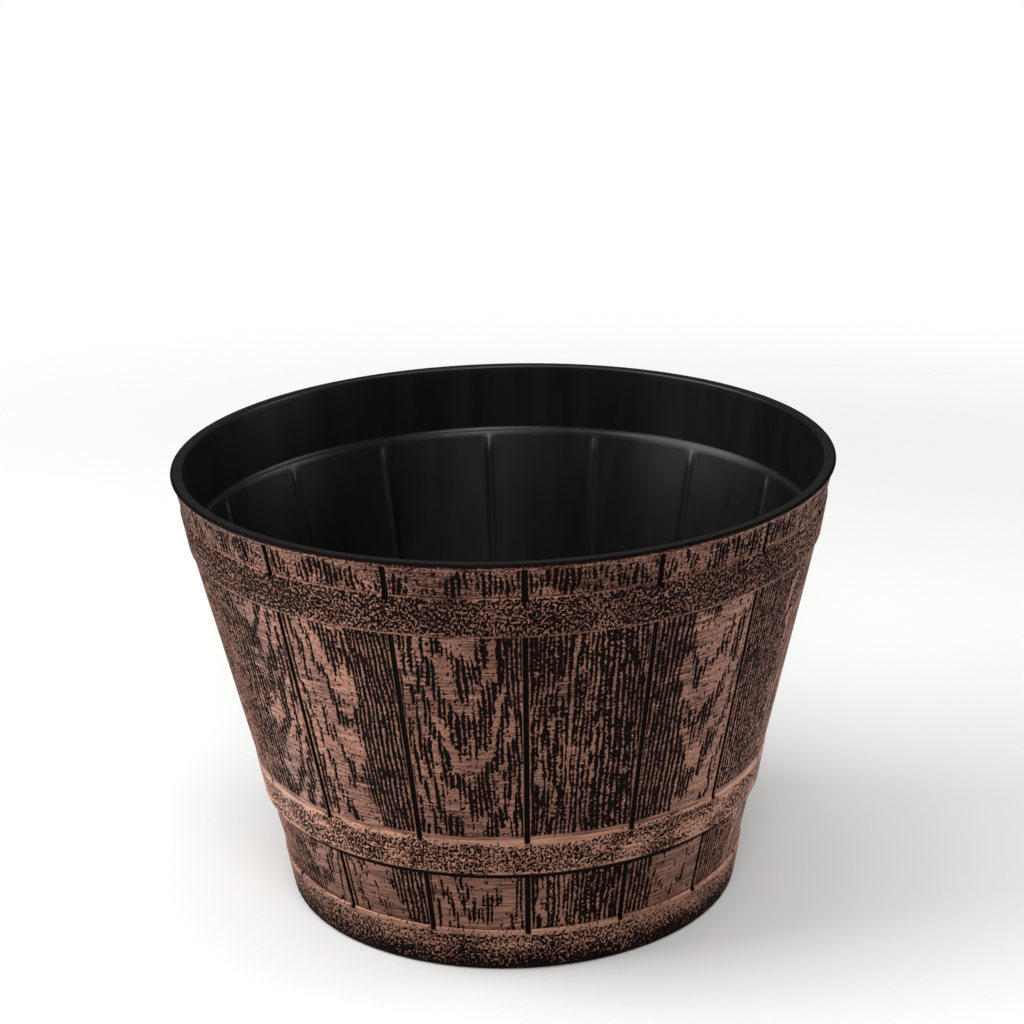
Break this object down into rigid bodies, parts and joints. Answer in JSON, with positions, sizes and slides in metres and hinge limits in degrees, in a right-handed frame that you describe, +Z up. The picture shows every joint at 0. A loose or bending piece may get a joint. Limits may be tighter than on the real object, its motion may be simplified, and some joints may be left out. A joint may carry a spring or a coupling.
{
  "type": "barrel planter",
  "caption": "Round tapered plastic planter moulded like a coopered barrel, with staves, hoops and foot band in relief and push-in drain plugs.",
  "frame": {"origin": "on the ground, at the centre of the standing ring", "axes": "+Z up along the planter's axis; a seam between two staves lies on each of +X, +Y, -X and -Y"},
  "size_m": [0.305, 0.305, 0.21],
  "materials": {
    "barrel_plastic": "black plastic with copper paint rubbed over the raised wood grain; satin black inside and on the lip",
    "plug_rubber": "matt black moulded rubber"
  },
  "bodies": {
    "barrel": {"barrel_shell": "barrel_plastic"},
    "plug_1": {"drain_plug_1": "plug_rubber"},
    "plug_2": {"drain_plug_2": "plug_rubber"},
    "plug_3": {"drain_plug_3": "plug_rubber"},
    "plug_4": {"drain_plug_4": "plug_rubber"}
  },
  "joints": [
    {"name": "plug_1_lift", "type": "slide", "parent": "barrel", "child": "plug_1", "axis": [0, 0, 1], "range_m": [0, 0.21]},
    {"name": "plug_2_lift", "type": "slide", "parent": "barrel", "child": "plug_2", "axis": [0, 0, 1], "range_m": [0, 0.21]},
    {"name": "plug_3_lift", "type": "slide", "parent": "barrel", "child": "plug_3", "axis": [0, 0, 1], "range_m": [0, 0.21]},
    {"name": "plug_4_lift", "type": "slide", "parent": "barrel", "child": "plug_4", "axis": [0, 0, 1], "range_m": [0, 0.21]}
  ]
}
